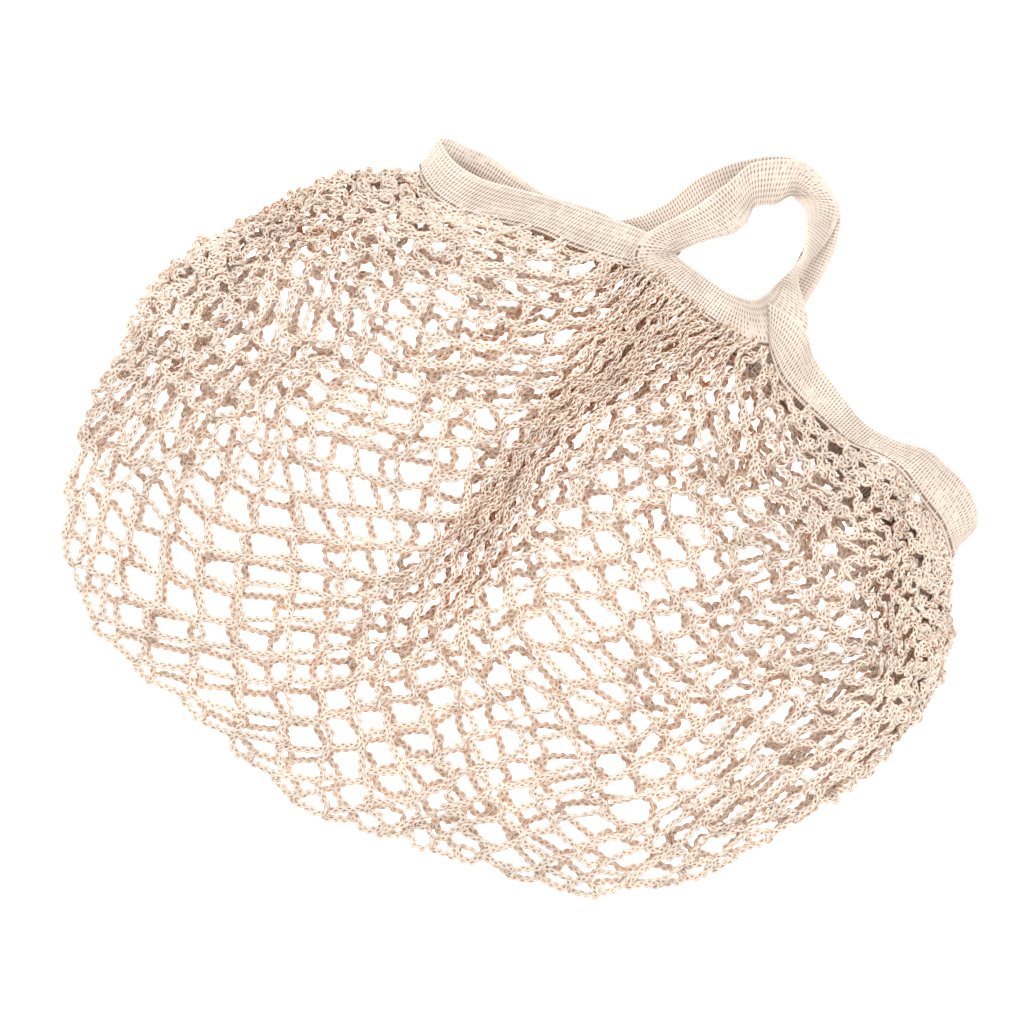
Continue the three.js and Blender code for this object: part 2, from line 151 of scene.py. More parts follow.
HANDLE_FRONT = np.array([
    (-57, 14, 13.5, -39, 30, 13.5), (-40, 12.5, 13.5, -31, 28.5, 13.5), (-20, 11, 13.5, -19, 28, 13.5),
    (0, 10, 13.5, 0, 28.5, 13.5), (18, 10.5, 13.5, 8, 30.5, 13.5), (34, 14.5, 13.2, 12.5, 32, 13.3),
    (46, 24, 13, 15.5, 35, 13), (48, 38, 12.6, 18, 41, 12.6), (36, 50.5, 10.5, 19, 50, 14.5),
    (27.5, 60, 7.4, 20, 60, 22.6), (26.5, 67, 6.4, 21.5, 67, 21.8), (28.2, 77, 6, 18.6, 76, 20),
    (29, 88, 6.3, 13.5, 86, 17.5), (28, 97, 6.6, 9.5, 92.6, 13), (25, 106.3, 6.8, 6, 95.5, 9.6),
    (18.5, 110.6, 7.1, 2.8, 96.8, 7.6), (7.5, 114.6, 7.6, -1, 96.4, 7.6), (-5, 116, 8.2, -3.8, 93, 8.2),
    (-14, 112.2, 8.6, -6.5, 87.5, 8.6), (-23.5, 105.3, 9, -12, 83, 9), (-32, 96, 9, -16.3, 78.5, 9),
    (-35, 84, 9.4, -15.8, 73, 9.4), (-38.8, 72, 10.2, -15.2, 66.5, 10.2),
    (-43, 60, 11, -18.5, 57.5, 11), (-49, 48, 12, -25, 50, 12), (-55, 37, 13, -32.5, 40.5, 13),
    (-59.5, 25, 13.4, -37, 33.5, 13.4),
])
HANDLE_BACK = np.array([
    (-91, 3.5, 1.5, -89, 21.5, 1.5), (-75, 6.5, 1.5, -74, 24.5, 1.5), (-58, 8, 1.5, -57, 26, 1.5),
    (-34, 7, 1.5, -34, 25, 1.5), (-10, 5.3, 1.5, -10, 23.3, 1.5), (12, 2.8, 1.5, 11, 21, 1.5),
    (30, 0.3, 1.5, 22, 19.5, 1.5), (43, -1.5, 1.5, 24, 19.8, 1.5), (50, 8, 1.5, 24.5, 22.3, 1.5),
    (47, 27, 1.5, 23.3, 33, 1.5), (41, 46.4, 1.5, 22.1, 45.4, 1.5), (38.2, 74.2, 1.5, 22.1, 71.4, 1.5),
    (34.2, 91, 1.5, 18.8, 85.4, 1.5), (26.2, 105, 1.5, 12.3, 93.4, 1.5),
    (9.7, 114.3, 1.5, 3.2, 96.5, 1.5), (-12.5, 115, 1.5, -5.7, 96.3, 1.5),
    (-34.8, 99.4, 1.5, -20, 84.6, 1.5), (-51.9, 75, 1.5, -34.1, 63.9, 1.5),
    (-60.4, 49.9, 1.5, -42.8, 40.5, 1.5), (-75.8, 29, 1.5, -60, 27, 1.5),
    (-90, 20, 1.5, -75, 26, 1.5),
])

# Share of the width or depth, from each edge, over which the net gets free to be pleated, over
# which its layers part, and over which its fold draws inwards
PLEAT_SIDE, PLEAT_FOOT, PLEAT_MOUTH = 0.12, 0.2, 0.08
PART_SIDE, PART_FOOT = 0.1, 0.14
INSET_MOUTH = 0.1
# Height of each layer's middle at the folds, and how far it lies from there once the layers part
FRONT_FOLD, FRONT_RISE = 8.4, 5.0
BACK_FOLD, BACK_DROP = 6.6, 4.9
# Cords rest on the floor with this much under them, and the tapes with this
CORD_CLEAR, PLY_CLEAR, TAPE_CLEAR = 0.25, 0.1, 0.05

PLIES = 3
# A joint takes this share of the rings of a row
JOINT_SHARE = 0.4
# How much narrower and how much thicker a cord is in a crowd
SNUG, FULL = 0.38, 0.2
# Half the width and height of a ply as shares of its size, and its sag at the cord's edge in mm
PLY_ACROSS, PLY_UP, SAG = 0.6, 0.45, 0.55
# How much each thing adds to the depth of a point in the yarn, which the cotton paints as
# shade: a ply that passes under, the cord's own edge, the low side of a ply, the last two again
# in a crowd, and a cord under others
UNDER, EDGE, LOW, CROWD_EDGE, CROWD_LOW, BURIED = 0.2, 0.45, 0.18, 0.1, 0.12, 0.5
# Cords lower than this are under others and get painted shade for it, a share of it outside a crowd
COVER, OPEN_COVER = 8.0, 0.35

# The chained cord at the mouth is drawn up like cords in a light crowd, and gets their painted shade
RIM_CROWD = 0.4
# Waves of three steps make one rib of the tape. A rib's rise, a hole's depth and loose fibres
STEPS_PER_RIB = 3
RIB_RISE, HOLE_DEPTH, FUZZ = 0.34, 0.95, 0.12
# Distance between two points across the tape
PICK = 1.3


def linear(hex_colour):
    """Linear red, green, blue and alpha of an sRGB colour written as six hex digits."""
    parts = np.array([int(hex_colour[k : k + 2], 16) / 255 for k in (0, 2, 4)])
    parts = np.where(parts <= 0.04045, parts / 12.92, ((parts + 0.055) / 1.055) ** 2.4)
    return (*parts.tolist(), 1.0)


def through(at, knots, values, closed=False):
    """Cubic curve through a table. At each knot its slope is the second-order difference of its
    neighbours, and between knots it is p0(1+2t)(1-t)^2 + m0 t(1-t)^2 + p1 t^2(3-2t) + m1 t^2(t-1).
    A closed table goes once round in 2."""
    knots, values = np.asarray(knots, float), np.asarray(values, float)
    if closed:
        knots = np.concatenate([knots[-3:] - 2, knots, knots[:3] + 2])
        values = np.concatenate([values[-3:], values, values[:3]])
        at = np.mod(at, 2)
    slope = np.gradient(values, knots, axis=0)
    k = np.clip(np.searchsorted(knots, at, side="right") - 1, 0, len(knots) - 2)
    spread = (..., *[None] * (values.ndim - 1))
    span = (knots[k + 1] - knots[k])[spread]
    t = (at - knots[k])[spread] / span
    return (
        values[k] * (1 + 2 * t) * (1 - t) ** 2
        + slope[k] * span * t * (1 - t) ** 2
        + values[k + 1] * t * t * (3 - 2 * t)
        + slope[k + 1] * span * t * t * (t - 1)
    )


def lengths(points):
    """Distance travelled along rows of points, from 0 at the first."""
    steps = np.linalg.norm(np.diff(points, axis=0), axis=-1)
    return np.concatenate([np.zeros((1, *steps.shape[1:])), np.cumsum(steps, axis=0)])


def unit(vectors):
    """Vectors at length 1."""
    return vectors / np.maximum(np.linalg.norm(vectors, axis=-1, keepdims=True), 1e-9)


def beside_each(distance):
    """Mean of the distances to the neighbours on both sides, along the second axis. The two
    outer strands have one neighbour."""
    before = np.pad(distance, ((0, 0), (1, 0)), "edge")
    after = np.pad(distance, ((0, 0), (0, 1)), "edge")
    return (before + after) / 2


def along_table(at, table):
    """Curve through plan points, at shares of its length."""
    run = lengths(np.asarray(table, float))
    fine = through(np.linspace(0, run[-1], CURVE_STEPS), run, table)
    real = lengths(fine)
    at = np.clip(at, 0, 1) * real[-1]
    return np.stack([np.interp(at, real, fine[:, 0]), np.interp(at, real, fine[:, 1])], axis=-1)


def rim_at(turn):
    """Place of the net's rim at a share of the strands, once round the mouth from 0 to 2."""
    row = through(turn, MOUTH[:, 0], MOUTH[:, 1:], closed=True)
    level = np.clip(row[..., 2], 0, 1)
    return np.stack([row[..., 0] * MOUTH_HALF, row[..., 1] * MOUTH_HALF - RIM_DROP, level], axis=-1)


def opened(distance):
    """How far something has opened at a distance from an edge, 0 to 1: 1-(1-d)^2."""
    return 1 - (1 - np.clip(distance, 0, 1)) ** 2


def relief(share, depth):
    """Rise of the front layer in millimetres: a sum of Gaussian folds and dents."""
    across = (share[..., None] - FOLDS[:, 0]) / FOLDS[:, 2]
    down = (depth[..., None] - FOLDS[:, 1]) / FOLDS[:, 3]
    return np.sum(FOLDS[:, 4] * np.exp(-across * across - down * down), axis=-1)


def bunched(share, depth):
    """Where a strand lies across its row. Strands per length of row are 1 plus Gaussian bunches,
    and the place is where their running total reaches the strand's share. It is worked out on a
    grid of levels and places, and read off between them in proportion."""
    places, levels = 400, 40
    grid = np.linspace(0, 1, places + 1)
    row = through(np.linspace(0, 1, levels + 1), BUNCH[:, 0], BUNCH[:, 1:])
    middle, reach, weight, left, left_weight, right, right_weight = np.moveaxis(row[..., None], -2, 0)
    density = (
        1
        + weight * np.exp(-(((grid - middle) / reach) ** 2))
        + left_weight * np.exp(-((grid / left) ** 2))
        + right_weight * np.exp(-(((1 - grid) / right) ** 2))
    )
    total = np.cumsum(density, axis=-1)
    total = (total - total[:, :1]) / (total[:, -1:] - total[:, :1])
    place = np.array([np.interp(grid, level, grid) for level in total])
    at, up = np.clip(share, 0, 1) * places, np.clip(depth, 0, 1) * levels
    i, j = np.minimum(at.astype(int), places - 1), np.minimum(up.astype(int), levels - 1)
    a, b = at - i, up - j
    near = place[j, i] * (1 - a) + place[j, i + 1] * a
    far = place[j + 1, i] * (1 - a) + place[j + 1, i + 1] * a
    return near * (1 - b) + far * b


def folded_rows(rng, s, q, rows):
    """Where each joint lies once the net is laid flat. The fold at the foot wanders by about a
    row to either side, and the folds at the sides by a strand, so that a joint near a fold may lie
    on the other layer. Returns its share across, its depth and whether it is in front."""
    foot_past, foot_wander, side_wander = 0.25, 0.75, 0.8
    # Rows lie a little closer near the foot, and the last ones reach the fold
    packing, past_foot = 0.96, 0.45
    shape = (len(q), len(s))
    foot = rows + foot_past + foot_wander * smooth_noise(rng, (1, len(s)), (1, 9))
    side = smooth_noise(rng, (len(q), 2), (12, 1)) * side_wander / len(s)
    side = (side - side[::-1]) / 2
    rowed = np.broadcast_to(q[:, None], shape).astype(float)
    past = rowed > foot
    depth = np.where(past, (2 * rows - rowed) / (2 * rows - foot), rowed / foot) ** packing
    across = s - side[:, :1] * (1 - s) + side[:, 1:] * s
    over = (across < 0) | (across > 1)
    share = np.abs(across)
    share = np.where(share > 1, 2 - share, share)
    front = past == over
    return share, np.clip(depth * (1 + past_foot / rows), 0, 1), front


def net_place(share, depth, front):
    """Place of the net's middle surface. In plan a strand runs straight from where it is sewn to
    the rim, at u0, to its place on the foot, at u1, and bulges with both sides:
    (1-v) rim(u0) + v foot(u1) + (1-u) left + u right - the bilinear blend of the corners, with
    u = (1-v) u0 + v u1."""
    fine = np.linspace(0, 1, CURVE_STEPS)
    run_front, run_back = lengths(rim_at(fine)[:, :2]), lengths(rim_at(2 - fine)[:, :2])
    run_front, run_back = run_front / run_front[-1], run_back / run_back[-1]
    held = np.interp(share, SEWN[:, 0], SEWN[:, 1])
    sewn = np.where(front, np.interp(held, fine, run_front), np.interp(held, fine, run_back))
    place = bunched(share, depth)
    rim = rim_at(np.where(front, held, 2 - held))[..., :2]
    foot = along_table(place, FOOT)
    left = along_table(depth, LEFT_SIDE)
    right = along_table(depth, RIGHT_SIDE)
    u = (1 - depth) * sewn + depth * place
    v, u = depth[..., None], u[..., None]
    corners = [rim_at(np.array(0.0))[:2], rim_at(np.array(1.0))[:2], LEFT_SIDE[-1], RIGHT_SIDE[-1]]
    plan = (
        (1 - v) * rim
        + v * foot
        + (1 - u) * left
        + u * right
        - (1 - v) * ((1 - u) * corners[0] + u * corners[1])
        - v * ((1 - u) * corners[2] + u * corners[3])
    )
    edge = np.minimum(u[..., 0], 1 - u[..., 0])
    hold = opened(edge / PLEAT_SIDE) * opened((1 - depth) / PLEAT_FOOT) * opened(depth / PLEAT_MOUTH)
    plan = pleated(plan, hold)
    plan -= unit(plan - HEART) * FOLD_INSET * opened(depth / INSET_MOUTH)[..., None]
    parted = opened(edge / PART_SIDE) * opened((1 - depth) / PART_FOOT)
    height = np.where(
        front,
        FRONT_FOLD + FRONT_RISE * parted + parted * relief(u[..., 0], depth),
        BACK_FOLD - BACK_DROP * parted,
    )
    return np.concatenate([plan, height[..., None]], axis=-1)


def pleated(plan, hold):
    """Plan points drawn towards each pleat's middle line: at distance d to its side and t along
    it a point moves by -k d exp(-(d/w)^2 - (t/l)^2), times hold, which is 0 at the outline."""
    for x, y, way, reach, wide, close in PLEATS:
        turn = math.radians(way)
        along = np.array([math.cos(turn), math.sin(turn)])
        aside = np.array([-math.sin(turn), math.cos(turn)])
        away = plan - (x, y)
        d, t = away @ aside, away @ along
        pull = close * d * np.exp(-((d / wide) ** 2) - (t / reach) ** 2) * hold
        plan = plan - pull[..., None] * aside
    return plan


def smooth_noise(rng, shape, cells):
    """Smooth random field of about unit size: a coarse grid of normal values carried over to a
    fine one by cosine blending, and made larger by what the blending takes away."""
    regain = 1.3
    coarse = rng.normal(size=(cells[0] + 2, cells[1] + 2))
    y = np.linspace(0, cells[0], shape[0])[:, None]
    x = np.linspace(0, cells[1], shape[1])[None, :]
    j, i = np.floor(y).astype(int), np.floor(x).astype(int)
    ty, tx = (1 - np.cos(np.pi * (y - j))) / 2, (1 - np.cos(np.pi * (x - i))) / 2
    top = coarse[j, i] * (1 - tx) + coarse[j, i + 1] * tx
    low = coarse[j + 1, i] * (1 - tx) + coarse[j + 1, i + 1] * tx
    return (top * (1 - ty) + low * ty) * regain


def put_mesh(name, points, quads, uv=None, deep=None, ends=()):
    """New object from points in millimetres of the bag's frame, an array of quads and, where a
    shell ends, one of triangles. uv holds yarn UVs at the quads' corners, and deep how far inside
    the yarn each point lies, which the cotton reads and paints as shade."""
    mesh = bpy.data.meshes.new(name)
    points = (points + SHIFT) * MM
    mesh.vertices.add(len(points))
    mesh.vertices.foreach_set("co", points.astype(np.float32).ravel())
    ends = np.asarray(ends, int).reshape(-1, 3)
    turns = np.concatenate([quads.ravel(), ends.ravel()])
    starts = np.concatenate([4 * np.arange(len(quads)), quads.size + 3 * np.arange(len(ends))])
    mesh.loops.add(len(turns))
    mesh.loops.foreach_set("vertex_index", turns.astype(np.int32))
    mesh.polygons.add(len(starts))
    mesh.polygons.foreach_set("loop_start", starts.astype(np.int32))
    mesh.polygons.foreach_set("use_smooth", np.ones(len(starts), bool))
    mesh.update(calc_edges=True)
    if uv is not None:
        layer = mesh.uv_layers.new(name="yarn")
        uv = np.concatenate([uv.reshape(-1, 2), np.zeros((ends.size, 2))])
        layer.data.foreach_set("uv", uv.astype(np.float32).ravel())
    if deep is not None:
        layer = mesh.attributes.new("deep", "FLOAT", "POINT")
        layer.data.foreach_set("value", deep.astype(np.float32))
    mesh.validate()
    piece = bpy.data.objects.new(name, mesh)
    bpy.context.scene.collection.objects.link(piece)
    return piece


def finished(piece, material, stands_for):
    """Gives a piece its cotton, hangs it from the root body and hides the CAD node that it stands for.
    """
    piece.data.materials.append(material)
    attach(piece, "root")
    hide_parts(stands_for)


def plaited(centre, roll, crowd, size, rng):
    """Cords of three flat plies. centre is rings by cords by 3 points. With f = 2 pi s / lay and
    the ply's own third of a turn, a ply runs at a sin f across and b sin 2f up, and sags by
    sin^2 f. Each ply is a three-sided tube with one edge on top. Returns points, quads, end
    triangles, yarn UVs and how deep each point lies in the cord, which sets its painted shade."""
    way = unit(np.gradient(centre, axis=0))
    up = np.zeros_like(way)
    up[..., 2] = 1
    side = unit(np.cross(up, way))
    over = np.cross(way, side)
    turn = roll[..., None]
    across = side * np.cos(turn) + over * np.sin(turn)
    lift = over * np.cos(turn) - side * np.sin(turn)
    run = lengths(centre)
    starts = rng.random(centre.shape[1])
    f = TAU * ((run / size.lay + starts)[..., None] + np.arange(PLIES) / PLIES)
    # Cords in a crowd roll up narrower and rounder
    snug, full = (1 - SNUG * crowd)[..., None], (1 + FULL * crowd)[..., None]
    a, b = (size.wide / 2 - size.ply * 0.5) * snug, (size.thick / 2 - size.ply * 0.36) * full
    line = (
        centre[:, :, None]
        + across[:, :, None] * (a * np.sin(f))[..., None]
        + lift[:, :, None] * (b * np.sin(2 * f) - SAG * full * np.sin(f) ** 2)[..., None]
    )
    sides = 3
    corner = TAU * (0.25 + np.arange(sides) / sides)
    ring_across = (size.ply * PLY_ACROSS * np.cos(corner))[:, None]
    ring_up = (size.ply * PLY_UP * np.sin(corner))[:, None]
    ring = (
        line[:, :, :, None]
        + across[:, :, None, None] * snug[..., None, None] * ring_across
        + lift[:, :, None, None] * full[..., None, None] * ring_up
    )
    # How deep a point lies, which the cotton paints as shade: the top of a ply that passes over is
    # 0. Plies that pass under, the cord's own edges and the low sides of a ply are deep. So are cords
    # that lie in a crowd, and those of the back layer under a crowd most of all, where the cords
    # above would shade them
    low = (1 - np.sin(corner)) / 1.5
    under, rim = (0.5 - 0.5 * np.sin(2 * f))[..., None], (np.abs(np.sin(f)) ** 3)[..., None]
    covered = np.clip(1 - centre[..., 2] / COVER, 0, 1)
    buried = ((OPEN_COVER + (1 - OPEN_COVER) * crowd) * covered)[..., None, None]
    crowd = crowd[..., None, None]
    deep = UNDER * under + EDGE * rim + LOW * low
    deep = deep + crowd * (CROWD_EDGE * rim + CROWD_LOW * low) + BURIED * buried
    index = np.arange(ring[..., 0].size).reshape(ring.shape[:4])
    nxt = np.roll(index, -1, axis=3)
    quads = np.stack([index[:-1], nxt[:-1], nxt[1:], index[1:]], axis=-1).reshape(-1, 4)
    s = np.broadcast_to(run[..., None, None], index.shape)
    c = np.broadcast_to(np.arange(sides) / sides, index.shape)
    uv = np.stack([
        np.stack([s[:-1], c[:-1]], -1), np.stack([s[:-1], c[:-1] + 1 / sides], -1),
        np.stack([s[1:], c[1:] + 1 / sides], -1), np.stack([s[1:], c[1:]], -1),
    ], axis=-2).reshape(-1, 4, 2)
    ends = np.concatenate([index[0].reshape(-1, sides)[:, ::-1], index[-1].reshape(-1, sides)])
    return ring.reshape(-1, 3), quads, ends, uv, deep.reshape(-1)


def joints(rng, size, depth, s, q):
    """Places of the net's joints, rows by strands, with how much room the strands have there, 0
    to 1, how far they are apart, and whether they are in front."""
    share, deep, front = folded_rows(rng, s, q, size.rows)
    joint = net_place(share, deep, front)
    # Strands 11 mm apart are free, and those 2 mm apart are held
    held_at, free_by = 0.2, 9.0
    apart = beside_each(np.linalg.norm(np.diff(joint, axis=1), axis=-1))
    room = np.clip(apart / free_by - held_at, 0.05, 1)
    # Rows are uneven: joints wander along and across, less at the rim, at the folded edges and
    # where the strands lie close together
    from_side = np.minimum(1, 8 * np.minimum(s, 1 - s))
    calm = np.minimum(1, depth * 6)[:, None] * (0.35 + 0.65 * from_side)
    calm = calm * (0.45 + 0.55 * opened((1 - deep) / 0.15))
    # Cords clump in groups of a few, with gaps between the groups, and less towards the foot
    clumping, less = 0.55, 0.6
    beside = np.gradient(joint, axis=1) * (1, 1, 0)
    clump = smooth_noise(rng, share.shape, (14, size.strands // 3))
    joint = joint + beside * (clumping * clump * calm * (1 - less * deep))[..., None]
    # Reach in plan, reach up and down, and the lowest place of a joint, in mm
    reach, lift, lowest = 2.3, 0.8, 1.6
    for axis in (0, 1):
        wander = 0.9 * smooth_noise(rng, share.shape, (22, 16)) + 0.45 * rng.normal(size=share.shape)
        joint[..., axis] += reach * calm * wander * size.wander * room
    joint[..., 2] += lift * rng.normal(size=share.shape) * calm
    joint[..., 2] = np.maximum(joint[..., 2], lowest)
    # The two layers share their joints along both folded sides
    for edge in (0, -1):
        joint[:, edge] = (joint[:, edge] + joint[::-1, edge]) / 2
    return joint, room, apart, front


def net_lines(size):
    """Middle lines of every strand of the net: rings by strands by 3. Neighbouring strands are
    knitted together at every other row, so that each runs in a zigzag from joint to joint."""
    rng = np.random.default_rng(size.seed)
    wales, rows = size.strands, size.rows
    q = np.arange(2 * rows + 1)
    depth = 1 - np.abs(q - rows) / rows
    joint, room, apart, front = joints(rng, size, depth, np.arange(wales + 1) / wales, q)
    # Each joint is turned a little in plan, by this much in radians
    turned = 0.3
    way = unit(np.gradient(joint, axis=0))
    spin = rng.normal(size=room.shape) * turned
    way = np.stack([
        way[..., 0] * np.cos(spin) - way[..., 1] * np.sin(spin),
        way[..., 0] * np.sin(spin) + way[..., 1] * np.cos(spin),
        way[..., 2],
    ], axis=-1)
    flat = np.array([0, 0, 1.0])
    # A strand is at its right or left joint by turns, and lies to that joint's side
    w = np.arange(wales)
    right_joint = (w[None] + q[:, None]) % 2 == 0
    column = np.where(right_joint, w + 1, w)
    rowed = np.broadcast_to(q[:, None], column.shape)
    at = joint[rowed, column]
    axis = way[rowed, column]
    towards = joint[rowed, np.clip(2 * w + 1 - column, 0, wales)] - at
    offset = unit(towards - axis * np.sum(towards * axis, -1, keepdims=True))
    # The two strands of a joint overlap a little, and never cross the next ones
    half = np.minimum(size.wide * 0.36, apart[rowed, column] / 2)[..., None]
    enter = at + offset * half - axis * size.joint / 2
    leave = at + offset * half + axis * size.joint / 2
    # Slack between joints bows sideways and up or down by sqrt(3 slack / 8) of the span, but no
    # further than this in mm. Where the strands are drawn together they hardly bow
    most_bow, most_rise, most_turn = 4.0, 2.0, 3.0
    start, end = leave[:-1], enter[1:]
    gap = end - start
    span = np.linalg.norm(gap, axis=-1, keepdims=True)
    slack = np.maximum(size.strand / np.maximum(span, 1) - 1, 0.0)
    tight = (1 - room)[rowed, column][:-1, :, None]
    bow = np.minimum(span * np.sqrt(3 / 8 * slack), most_bow) * (1 - 0.85 * tight)
    bend = unit(np.cross(flat, gap))
    sign = rng.choice([-1.0, 1.0], size=span.shape)
    rise = rng.normal(size=span.shape)
    swing = bow * sign * (0.6 + 0.4 * rng.random(size=span.shape))
    halves = (start + end) / 2
    # A strand that turns over a fold bows outwards
    seen = front[rowed, column]
    turns = (seen[:-1] != seen[1:])[..., None]
    outward = unit((halves - (*HEART, 0)) * (1, 1, 0))
    mid = halves + np.where(
        turns,
        outward * np.minimum(1.4 * bow, most_turn),
        bend * swing + flat * rise * np.minimum(bow, most_rise) * 0.5,
    )
    knots = np.stack([enter[:-1], leave[:-1], mid], axis=1)
    knots = np.concatenate([knots.reshape(-1, wales, 3), enter[-1:], leave[-1:]])
    knots[..., 2] = np.maximum(knots[..., 2], size.thick / 2 + CORD_CLEAR)
    # The slack's middle comes halfway between two joints
    t = np.arange(2 * rows)[:, None] + (0, JOINT_SHARE, (1 + JOINT_SHARE) / 2)
    t = np.append(t.ravel(), [2 * rows, 2 * rows + JOINT_SHARE])
    fine = np.linspace(0, 2 * rows + JOINT_SHARE, 2 * rows * size.rings + 1)
    return through(fine, t, knots)


def crowded(lines, size):
    """How closely the strands lie, 0 to 1: mean distance to both neighbours over two rows, from
    two cord widths down to one half."""
    far, near = 2 * size.wide, 0.5 * size.wide
    apart = beside_each(np.linalg.norm(np.diff(lines, axis=1), axis=-1))
    reach = 2 * size.rings
    total = np.cumsum(np.pad(apart, ((reach, reach), (0, 0)), "edge"), axis=0)
    mean = (total[2 * reach :] - total[: -2 * reach]) / (2 * reach)
    return np.clip((far - mean) / (far - near), 0, 1)


class NetSize(bpy.types.PropertyGroup):
    """Sizes of the knitted net. Its plies are drawn three to a cord."""

    strands: IntProperty(name="Strands", description="Strands across one layer", default=54, min=8)
    rows: IntProperty(name="Rows", description="Rows of joints from mouth to foot", default=26, min=6)
    rings: IntProperty(name="Rings", description="Rings of a strand between two rows", default=14, min=4)
    wide: FloatProperty(name="Cord width", description="Width of a cord", default=5.1 * MM,
                        min=MM, unit="LENGTH")
    thick: FloatProperty(name="Cord thickness", description="Thickness of a cord",
                         default=2.2 * MM, min=MM, unit="LENGTH")
    ply: FloatProperty(name="Ply", description="Width of one ply", default=2.0 * MM, min=MM,
                       unit="LENGTH")
    lay: FloatProperty(name="Lay", description="Length of one full plait", default=15.0 * MM,
                       min=MM, unit="LENGTH")
    joint: FloatProperty(name="Joint", description="Length that two strands share",
                         default=6.4 * MM, min=MM, unit="LENGTH")
    strand: FloatProperty(name="Strand", description="Length between two joints",
                          default=13.0 * MM, min=MM, unit="LENGTH")
    wander: FloatProperty(name="Wander", description="How uneven the rows are", default=1.0,
                          min=0, subtype="FACTOR")
    seed: IntProperty(name="Seed", description="Seed of the unevenness", default=7)


class TapeSize(bpy.types.PropertyGroup):
    """Sizes of the woven tape."""

    rib: FloatProperty(name="Rib", description="Distance between two ribs", default=1.8 * MM,
                       min=MM, unit="LENGTH")
    holes: IntProperty(name="Holes", description="Rows of holes across the tape", default=8, min=2)
    thick: FloatProperty(name="Thickness", description="Thickness of the tape",
                         default=1.9 * MM, min=MM, unit="LENGTH")
    crown: FloatProperty(name="Crown", description="How far its middle stands up",
                         default=0.5 * MM, min=0, unit="LENGTH")
    seed: IntProperty(name="Seed", description="Seed of the unevenness", default=11)


class Finish(bpy.types.PropertyGroup):
    """Colours of the cotton and the floor."""

    cord: FloatVectorProperty(name="Cord", description="Lit side of the cord", size=4,
                              subtype="COLOR", min=0, max=1, default=linear("feefe1"))
    # Painted shade: the warm brown painted into the cord's deep places, between its plies, at its edges
    # and under other cords
    cord_deep: FloatVectorProperty(name="Cord, deep", description="Between the plies", size=4,
                                   subtype="COLOR", min=0, max=1, default=linear("cf843e"))
    tape: FloatVectorProperty(name="Tape", description="Lit side of the tape", size=4,
                              subtype="COLOR", min=0, max=1, default=linear("f3e4d7"))
    # Painted shade: the dark brown painted inside the tape's holes, in its stitch furrow, between its
    # ribs and under the net
    tape_deep: FloatVectorProperty(name="Tape, holes", description="Inside its holes", size=4,
                                   subtype="COLOR", min=0, max=1, default=linear("6a3c1e"))
    floor: FloatVectorProperty(name="Floor", description="Floor under the bag", size=4,
                               subtype="COLOR", min=0, max=1, default=linear("fbfbfb"))


class BagSettings(bpy.types.PropertyGroup):
    """All settings of the bag."""

    net: PointerProperty(type=NetSize)
    tape: PointerProperty(type=TapeSize)
    finish: PointerProperty(type=Finish)


def in_millimetres(group):
    """A group's values, its lengths in millimetres."""
    kinds = group.bl_rna.properties
    values = {key: getattr(group, key) for key in type(group).__annotations__}
    return SimpleNamespace(**{
        key: value / MM if kinds[key].type == "FLOAT" and kinds[key].unit == "LENGTH" else value
        for key, value in values.items()
    })


def node(tree, kind, settings=None, links=None):
    """Adds a node, sets its properties and sockets, and links its inputs from other outputs."""
    made = tree.nodes.new(kind)
    for key, value in (settings or {}).items():
        if isinstance(key, str) and hasattr(made, key):
            setattr(made, key, value)
        else:
            made.inputs[key].default_value = value
    for key, source in (links or {}).items():
        tree.links.new(source, made.inputs[key])
    return made


